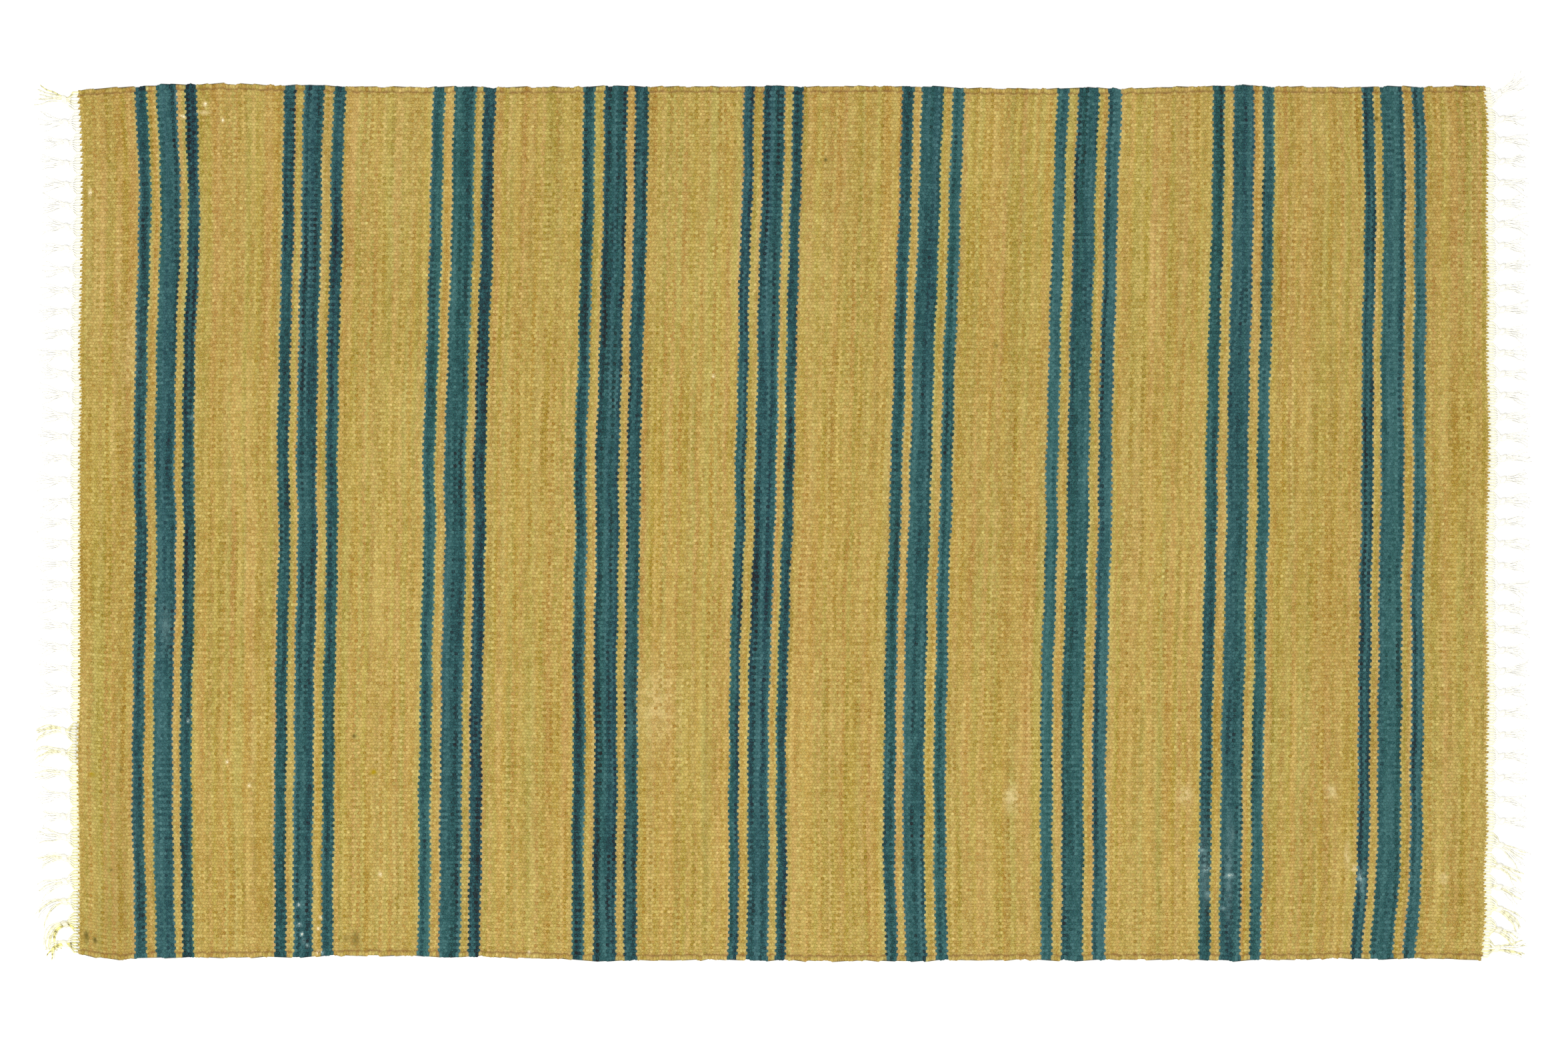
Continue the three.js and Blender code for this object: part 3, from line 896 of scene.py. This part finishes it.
def yarn_tint(side, index, points, draw):
    """How dark and how yellow a tassel's yarn is at each point of its path; the dark beside the cloth
    is painted shade.
    """
    tint = np.zeros((points, 2))
    beside = slice(0, len(SHADE_BESIDE_CLOTH))
    for tinted_side, first, last, dark, yellow in SHADED_AND_YELLOWED_TASSELS:
        if side == tinted_side and first <= index <= last:
            strength = max(0.0, by_chance(STRAND_TINT, draw))
            specks = (7 * np.arange(points) + 3 * index) % 5 < 2
            share = by_chance(HEADING_SHADE, draw)
            tint[:, 0] = DARK_STRANDS * yellow * strength * specks
            # Painted shade on the bare warps beside the cloth.
            tint[beside, 0] = dark * np.array(SHADE_BESIDE_CLOTH) * share
            tint[:, 1] = yellow * strength
    south, north = YELLOWED_WARPS[side]
    tint[beside, 1] = np.maximum(tint[beside, 1], south + (north - south) * index / TASSELS)
    return tint


# The bake map of a fringe: how far up it the yarns lie in their grid, and the
# wraps of the knots, and how much of its cell each fills, across and along.
YARN_COLUMNS = 24
YARN_ROWS = 12
YARN_SPAN, YARN_FILL = (0.2, 1), (0.93, 0.95)
WRAP_SPAN, WRAP_FILL = (0, 0.2), (0.92, 0.92)


def cell(column, columns, row, rows, span, fill):
    """The west, south, east and north of a cell in the grid that takes up this span."""
    low, high = (span[0] + (span[1] - span[0]) * up / rows for up in (row, row + fill[1]))
    return column / columns, low, (column + fill[0]) / columns, high


def add_fringe(name, side):
    yarns = Yarns()
    draws = np.random.default_rng(YARN_SEED + side).uniform(-1, 1, (TASSELS, WARPS_IN_TASSEL, 4))
    upright = np.array([0, 0, 1.0])
    for index in range(TASSELS):
        for warp in range(WARPS_IN_TASSEL):
            path, radii = yarn_path(side, index, warp, draws[index, warp])
            row, column = divmod(index * WARPS_IN_TASSEL + warp, YARN_COLUMNS)
            spot = cell(column, YARN_COLUMNS, row, YARN_ROWS, YARN_SPAN, YARN_FILL)
            tint = yarn_tint(side, index, len(path), draws[index, warp, 3])
            yarns.add_tube(path, radii, upright, spot, tint)
        wrap_tint = yarn_tint(side, index, len(SHADE_BESIDE_CLOTH) + 2, WRAP_DRAW)[-1]
        for number, (out, girth) in enumerate(KNOT_WRAPS):
            path, axis = knot_wrap(side, index, out, girth)
            spot = cell(index, TASSELS, number, len(KNOT_WRAPS), WRAP_SPAN, WRAP_FILL)
            girths = np.full(RING_STEPS, YARN_RADIUS)
            tint = np.tile(wrap_tint, (RING_STEPS, 1))
            yarns.add_tube(path, girths, axis, spot, tint, closed=True)
    return yarns.made(name)


# Materials.

def plug(tree, value, socket):
    """Gives a socket its number or colour, or links it to what makes that."""
    value = getattr(value, "socket", value)
    if isinstance(value, bpy.types.NodeSocket):
        tree.links.new(value, socket)
    else:
        socket.default_value = value


def new_node(tree, kind, inputs, **settings):
    """A node of this kind. inputs says what goes into its sockets, by name or number."""
    node = tree.nodes.new("ShaderNode" + kind)
    for name, value in settings.items():
        setattr(node, name, value)
    for name, value in inputs.items():
        plug(tree, value, node.inputs[name])
    return node


def by(operation):
    """A way to make a new field from a field and another, or a number."""
    def made(field, other):
        return field.math(operation, other)
    return made


class Field:
    """A number that varies over a surface. Sums with these make a material's nodes."""

    def __init__(self, tree, socket):
        self.tree = tree
        self.socket = socket

    def math(self, operation, *others):
        inputs = dict(enumerate((self, *others)))
        return Field(self.tree, new_node(self.tree, "Math", inputs, operation=operation).outputs[0])

    __add__ = __radd__ = by("ADD")
    __mul__ = __rmul__ = by("MULTIPLY")
    __sub__ = by("SUBTRACT")
    __truediv__ = by("DIVIDE")
    above = by("GREATER_THAN")

    def __rsub__(self, other):
        return self * -1.0 + other

    def floor(self):
        return self.math("FLOOR")

    def clamped(self):
        return Field(self.tree, new_node(self.tree, "Clamp", {0: self}).outputs[0])


def spot_of(tree, x, y):
    return new_node(tree, "CombineXYZ", {0: x, 1: y}).outputs[0]


def noise(tree, x, y, kind):
    """Smooth noise about 0, between -0.5 and 0.5 and mostly within 0.25. kind gives its
    waves in a unit of x and of y, where it starts in x, and its detail."""
    along, across, start, detail = kind
    spot = spot_of(tree, x * along + start, y * across)
    inputs = {"Vector": spot, "Scale": 1, "Detail": detail}
    return Field(tree, new_node(tree, "TexNoise", inputs, noise_dimensions="2D").outputs[0]) - 0.5


def draw(tree, x, y):
    """A number from -0.5 to 0.5 that has no likeness to its neighbours'."""
    node = new_node(tree, "TexWhiteNoise", {"Vector": spot_of(tree, x, y)}, noise_dimensions="2D")
    return Field(tree, node.outputs["Value"]) - 0.5


def mixed(tree, share, first, second):
    """One colour turning into another as share goes from 0 to 1."""
    return new_node(tree, "Mix", {0: share, 6: first, 7: second}, data_type="RGBA").outputs[2]


def times(tree, colour, number):
    inputs = {0: colour, "Scale": number}
    return new_node(tree, "VectorMath", inputs, operation="SCALE").outputs[0]


DARKEST = (0.01, 0.01, 0.01)


def sum_of(tree, first, second):
    """Two colours added, and kept from going below black."""
    total = new_node(tree, "VectorMath", {0: first, 1: second}, operation="ADD").outputs[0]
    return new_node(tree, "VectorMath", {0: total, 1: DARKEST}, operation="MAXIMUM").outputs[0]


def map_fields(tree, name):
    """The two numbers of a piece's own map."""
    where = new_node(tree, "UVMap", {}, uv_map=name).outputs[0]
    parts = new_node(tree, "SeparateXYZ", {0: where})
    return Field(tree, parts.outputs[0]), Field(tree, parts.outputs[1])


def linear(red, green, blue):
    """A colour given by its sRGB bytes."""
    def channel(byte):
        share = byte / 255
        return share / 12.92 if share <= 0.04045 else ((share + 0.055) / 1.055) ** 2.4
    return (channel(red), channel(green), channel(blue), 1)


MUSTARD_RED = linear(172, 139, 77)
MUSTARD_GREEN = linear(160, 145, 74)
MUSTARD_GOLD = linear(169, 142, 56)
BLUE_GREEN = linear(42, 84, 82)
BLUE_DARK = linear(42, 78, 84)
MUSTARD_BRIGHTNESS = 0.292
BLUE_BRIGHTNESS = 0.085
# The stripes' hues mingle over this many picks either side of their edge, and
# the tips of floats that reach past it take up this share of what lies there.
MINGLING = 1.6
TEETH_FADE = 0.25
# How a yarn's colour moves as it pales: fuzz and wear add a little grey.
MUSTARD_LIGHT = (1.0, 0.92, 0.42, 1)
BLUE_LIGHT = (0.20, 0.40, 0.39, 1)
WORN = linear(212, 192, 138)
WORN_BLUE = linear(112, 142, 142)
WORN_WHITE = linear(246, 238, 212)
SOIL = linear(98, 85, 32)
YELLOWED = linear(158, 132, 8)
# The colour of the painted shade in the groove beside a selvedge.
SELVEDGE_GROOVE_SHADE = linear(118, 80, 44)
COTTON = linear(253, 252, 246)
COTTON_SHADE = linear(238, 230, 196)
# The colour of the painted shade on the heading beside the cloth, and of the dark strands.
COTTON_DARKENED = linear(104, 88, 40)
COTTON_YELLOWED = linear(250, 243, 150)
# What a step of STRIPE_LOOKS does to a stripe's hue and brightness.
GREENER_STEP = 0.13
PALER_STEP = 0.02

# The wool's noises: waves a pick and a rib, where they start, and their detail.
STREAKS = (0.83, 0.02, 0, 0)
FINE_STREAKS = (1.7, 0.035, 20, 0)
SLOW_CHANGES = (0.012, 0.012, 0, 1)
FIBRES = (1.9, 2.9, 0, 1)
HUE_STREAKS = (0.36, 0.006, 50, 0)
GOLD_STREAKS = (0.3, 0.01, 90, 0)
GROOVE_BREAKS = (0.23, 1, 0, 0)
# What keeps the draws for picks and ribs apart, and those for floats.
PICK_DRAW, RIB_DRAW, PICK_HUE_DRAW = 3.0, 5.0, 7.0
ALONG_DRAW, ACROSS_DRAW, SPECK_DRAW, HUE_DRAW = 900.0, 1300.0, 1700.0, 2300.0
# A float's crest: how steeply it falls along and across, and how uneven it is.
DOME_FALL = (1.3, 1.9)
DOME_SHIFT = 0.5
# How much these lighten the wool: each float, pair of picks and rib, streaks,
# slow changes and fibres.
LIGHTENING = (0.055, 0.05, 0.015, 0.15, 0.04, 0.36)
# And these: a speck and the float's own draw on its crest, where they are a painted highlight, a
# stripe's edge, and in a stripe each pair of picks and fine streaks, less a little all over.
CREST_HIGHLIGHT = (0.10, 0.12)
EDGE_LIGHTENING = 0.03
BLUE_LIGHTENING = (0.09, 0.16)
BLUE_DIMMED = 0.019
# Specks are the floats whose draw is above this.
SPECK_FROM = 0.47
# A float's brightness in its hollows, where shade is painted, the painted light that its crest adds,
# and what a blue edge takes.
HOLLOW_PAINTED_SHADE, CREST_PAINTED_LIGHT, EDGE_DEPTH = 0.84, 0.36, 0.04
# How far the tips of blue floats keep their own hue past a stripe's edge, and
# how much more inside it.
TIP_HUE = (0.35, 0.6)
# What streaks, picks and floats do to the hue of each yarn.
MUSTARD_HUE = (1.6, 0.4, 0.4)
GOLD_HUE = (1.5, 0.2)
GOLD_FROM = 0.35
GOLD_MOST = 0.5
BLUE_HUE = (0.8, 0.3)
# Painted shade in the groove beside the outermost rib: its place in ribs, how steeply it
# fades, how much of it shows, how far that varies, and its strength.
GROOVE_LINE, GROOVE_FADE = 1.1, 7.0
GROOVE_SHOWN, GROOVE_SWING, GROOVE_STRENGTH = 0.75, 2.4, 0.7
# How ragged worn and soiled places are, also by the float, how little soil shows
# on blue, and from what strength a worn place is white.
RAGGED_WORN, RAGGED_SOIL, RAGGED_BY_FLOAT = 1.6, 1.2, 0.8
SOIL_LOST_ON_BLUE = 0.7
WHITE_FROM = 0.9
# The relief in mm of a float's crest and of its fibres.
CREST_RELIEF, FIBRE_RELIEF = 0.5, 0.12

# Cotton's twist, in turns a mm and grooves round the yarn, and its grain.
TWIST_TURNS, TWIST_GROOVES = 0.28, 2.0
COTTON_GRAIN = (3, 9, 0, 0)
# Its tone, and what a yarn's own draw and the grain do to it.
COTTON_TONE, TONE_BY_YARN, TONE_BY_GRAIN = 0.97, 0.07, 0.10
GROOVE_SHADE = 0.3
# How dark the painted shade beside the cloth and the dark strands are in the grooves, and how much less
# so on the ridges.
GROOVE_DARKENING, RIDGE_LESS_DARK = 1.3, 0.8
RIDGE_RELIEF, GRAIN_RELIEF = 0.25, 0.1

# How the cloth shines.
SPECULAR = 0.2
SHEEN = 0.1
SHEEN_ROUGHNESS = 0.5


def new_material(name, roughness):
    material = bpy.data.materials.new(name)
    material.use_nodes = True
    shader = material.node_tree.nodes["Principled BSDF"]
    shader.inputs["Roughness"].default_value = roughness
    return material, shader


def finished(name, colour_of, roughness, relief):
    """A cloth material. colour_of makes the colour and the height in mm from the node tree."""
    material, shader = new_material(name, roughness)
    tree = material.node_tree
    shader.inputs["Specular IOR Level"].default_value = SPECULAR
    shader.inputs["Sheen Weight"].default_value = SHEEN
    shader.inputs["Sheen Roughness"].default_value = SHEEN_ROUGHNESS
    colour, height = colour_of(tree)
    tree.links.new(colour, shader.inputs["Base Color"])
    inputs = {"Strength": relief, "Distance": MM, "Height": height}
    bumps = new_node(tree, "Bump", inputs).outputs[0]
    tree.links.new(bumps, shader.inputs["Normal"])
    return material


def weighed(weights, *fields):
    """The sum of fields, each times its weight."""
    return sum(weight * field for weight, field in zip(weights, fields))


def brightness_at(blue):
    """How bright the yarn is, from mustard at 0 to blue at 1."""
    return MUSTARD_BRIGHTNESS + (BLUE_BRIGHTNESS - MUSTARD_BRIGHTNESS) * blue


def wool_colour(tree):
    """The float that a place lies on, found from the weave map, and its colour and height."""
    pick, rib = map_fields(tree, "weave")
    below = rib.above(UNDERSIDE - 1)
    rib = rib - below * float(UNDERSIDE)
    line = (rib + 0.5).floor()
    turn = (pick + line + 0.5 + below).math("FLOORED_MODULO", 2.0) - 1.0
    bulge = (turn.math("ABSOLUTE") * 2.0 - 1.0) * BULGE
    row = (line - (line + bulge).above(rib)).math("MAXIMUM", 0.0).math("MINIMUM", RIBS - 1.0)
    odd = (row + below).math("FLOORED_MODULO", 2.0)
    shown = ((pick + 0.5 - odd) * 0.5).floor() * 2.0 + odd
    along = pick - shown - 0.5 + DOME_SHIFT * draw(tree, shown, row + ALONG_DRAW)
    across = (rib - row) * 2.0 - 1.0 + DOME_SHIFT * draw(tree, shown, row + ACROSS_DRAW)
    dome = (along * along * -DOME_FALL[0] - across * across * DOME_FALL[1]).math("EXPONENT")

    blue = nearby = greener = paler_stripe = 0
    for stripe, looks in zip(STRIPES, STRIPE_LOOKS):
        for (first, last), (green, pale) in zip(stripe_group(stripe), looks):
            middle, half = (first + last) / 2, (last - first) / 2
            inside = shown.math("COMPARE", middle - 0.5, half)
            reach = (0.5 + (half - (pick - middle).math("ABSOLUTE")) * (0.5 / MINGLING)).clamped()
            blue += inside
            nearby += reach
            greener = inside.math("MULTIPLY_ADD", green, greener)
            paler_stripe = inside.math("MULTIPLY_ADD", pale, paler_stripe)
    edge = 1.0 - (nearby * 2.0 - 1.0).math("ABSOLUTE")
    hue_blue = nearby + (blue - nearby) * (TIP_HUE[0] + TIP_HUE[1] * blue)

    # The yarn goes there and back, so two picks side by side are alike.
    there_and_back = (shown * 0.5).floor()
    by_pick = draw(tree, there_and_back, PICK_DRAW)
    by_float = draw(tree, shown, row)
    by_rib = draw(tree, RIB_DRAW, row)
    streak = noise(tree, shown, rib, STREAKS)
    fine = noise(tree, shown, rib, FINE_STREAKS)
    slow = noise(tree, pick, rib, SLOW_CHANGES)
    fibre = noise(tree, pick, rib, FIBRES)
    speck = draw(tree, shown, row + SPECK_DRAW).above(SPECK_FROM)
    light = weighed(LIGHTENING, by_float, by_pick, by_rib, streak, slow, fibre)
    # A painted highlight on the crests of floats, most on the specks.
    light = light + weighed(CREST_HIGHLIGHT, speck, by_float) * dome
    light = light + EDGE_LIGHTENING * edge * (1.0 - blue)
    light = light + (weighed(BLUE_LIGHTENING, by_pick, fine) - BLUE_DIMMED) * blue
    light = light + PALER_STEP * paler_stripe
    # Painted shade in a float's hollows and painted light on its crest; a blue float is also a little
    # darker at a stripe's edge.
    depth = (HOLLOW_PAINTED_SHADE + CREST_PAINTED_LIGHT * dome) * (1.0 - EDGE_DEPTH * edge * blue)

    hues = noise(tree, shown, rib, HUE_STREAKS), draw(tree, there_and_back, PICK_HUE_DRAW)
    hue = weighed(MUSTARD_HUE, *hues, draw(tree, shown, row + HUE_DRAW)) + 0.5
    gold = weighed(GOLD_HUE, noise(tree, shown, rib, GOLD_STREAKS), by_float) + GOLD_FROM
    mustard = mixed(tree, hue.clamped(), MUSTARD_GREEN, MUSTARD_RED)
    mustard = mixed(tree, gold.clamped() * GOLD_MOST, mustard, MUSTARD_GOLD)
    blue_hue = weighed(BLUE_HUE, *hues) + 0.5 - GREENER_STEP * greener
    blue_yarn = mixed(tree, blue_hue.clamped(), BLUE_GREEN, BLUE_DARK)
    tone_blue = blue + (nearby - blue) * TEETH_FADE
    brightness = depth * brightness_at(tone_blue) / brightness_at(hue_blue)
    colour = times(tree, mixed(tree, hue_blue, mustard, blue_yarn), brightness)
    paler = times(tree, mixed(tree, blue, MUSTARD_LIGHT, BLUE_LIGHT), light)
    colour = marked(tree, sum_of(tree, colour, paler), blue, fibre + by_float * RAGGED_BY_FLOAT)

    # Painted shade in the groove beside each selvedge, on mustard only.
    from_line = rib.math("MINIMUM", RIBS - rib) - GROOVE_LINE
    uneven = (GROOVE_SHOWN + GROOVE_SWING * noise(tree, pick, row, GROOVE_BREAKS)).clamped()
    painted_groove = (from_line * from_line * -GROOVE_FADE).math("EXPONENT") * uneven * (1.0 - blue)
    colour = mixed(tree, painted_groove * GROOVE_STRENGTH, colour, SELVEDGE_GROOVE_SHADE)
    return colour, dome * CREST_RELIEF + fibre * FIBRE_RELIEF


def marked(tree, colour, blue, uneven):
    """The wool's colour with its worn, soiled and yellowed places."""
    pale, dark = map_fields(tree, "marks")
    pale = pale * (1.0 + RAGGED_WORN * uneven)
    dark = dark * (1.0 + RAGGED_SOIL * uneven) * (1.0 - SOIL_LOST_ON_BLUE * blue)
    worn = mixed(tree, blue, WORN, WORN_BLUE)
    colour = mixed(tree, pale.clamped(), colour, worn)
    colour = mixed(tree, (pale - WHITE_FROM).clamped(), colour, WORN_WHITE)
    colour = mixed(tree, dark.clamped(), colour, SOIL)
    return mixed(tree, (dark * -1.0).clamped(), colour, YELLOWED)


def cotton_colour(tree):
    """A twisted yarn's colour and height, with painted shade in its grooves and on the heading beside
    the cloth, and its yellowed and darkened stretches.
    """
    length, round_it = map_fields(tree, "yarn")
    number = round_it.floor()
    twist = ((length * TWIST_TURNS + round_it * TWIST_GROOVES) * (2 * math.pi)).math("SINE")
    ridge = twist * 0.5 + 0.5
    grain = noise(tree, length, round_it, COTTON_GRAIN)
    tone = COTTON_TONE + TONE_BY_YARN * draw(tree, number, 1.0) + TONE_BY_GRAIN * grain
    dark, yellow = map_fields(tree, "marks")
    # Painted shade on the heading beside the cloth, and the dark strands, deepest in the twist's
    # grooves.
    shade_and_darkening = dark * (GROOVE_DARKENING - RIDGE_LESS_DARK * ridge)
    colour = mixed(tree, (GROOVE_SHADE - GROOVE_SHADE * ridge).clamped(), COTTON, COTTON_SHADE)
    colour = mixed(tree, yellow.clamped(), colour, COTTON_YELLOWED)
    colour = mixed(tree, shade_and_darkening.clamped(), colour, COTTON_DARKENED)
    return times(tree, colour, tone), ridge * RIDGE_RELIEF + grain * GRAIN_RELIEF


# The floor and the light.

FLOOR_SIZE = 12
FLOOR_COLOUR = (0.93, 0.93, 0.92, 1)
FLOOR_ROUGHNESS = 0.9
SKY = 0.75
KEY_POWER = 140
KEY_SIZE = 2.2
KEY_PLACE = (-0.5, -0.8, 4.6)


def add_floor():
    half = FLOOR_SIZE / 2
    mesh = bpy.data.meshes.new("floor")
    corners = [(-half, -half, 0), (half, -half, 0), (half, half, 0), (-half, half, 0)]
    mesh.from_pydata(corners, [], [(0, 1, 2, 3)])
    material, shader = new_material("floor", FLOOR_ROUGHNESS)
    shader.inputs["Base Color"].default_value = FLOOR_COLOUR
    mesh.materials.append(material)
    new_object("floor", mesh)


def add_light():
    world = bpy.data.worlds.new("soft sky")
    world.use_nodes = True
    background = world.node_tree.nodes["Background"]
    background.inputs["Color"].default_value = (1, 1, 1, 1)
    background.inputs["Strength"].default_value = SKY
    bpy.context.scene.world = world
    data = bpy.data.lights.new("key", "AREA")
    data.shape = "DISK"
    data.size = KEY_SIZE
    data.energy = KEY_POWER
    key = new_object("key", data)
    key.location = KEY_PLACE
    key.rotation_euler = (-key.location).to_track_quat("-Z", "Y").to_euler()


bpy.context.scene.view_settings.view_transform = "Standard"
add_floor()
add_light()
wool = finished("wool", wool_colour, roughness=0.95, relief=0.6)
cotton = finished("cotton", cotton_colour, roughness=0.9, relief=0.5)
strips, widths = add_ground()
fringes = [add_fringe("fringe_west", -1), add_fringe("fringe_east", 1)]

for strip in strips:
    strip.data.materials.append(wool)
    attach(strip, "root")
    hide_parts("ground")
for fringe, node in zip(fringes, ("fringe_left", "fringe_right")):
    fringe.data.materials.append(cotton)
    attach(fringe, "root")
    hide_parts(node)
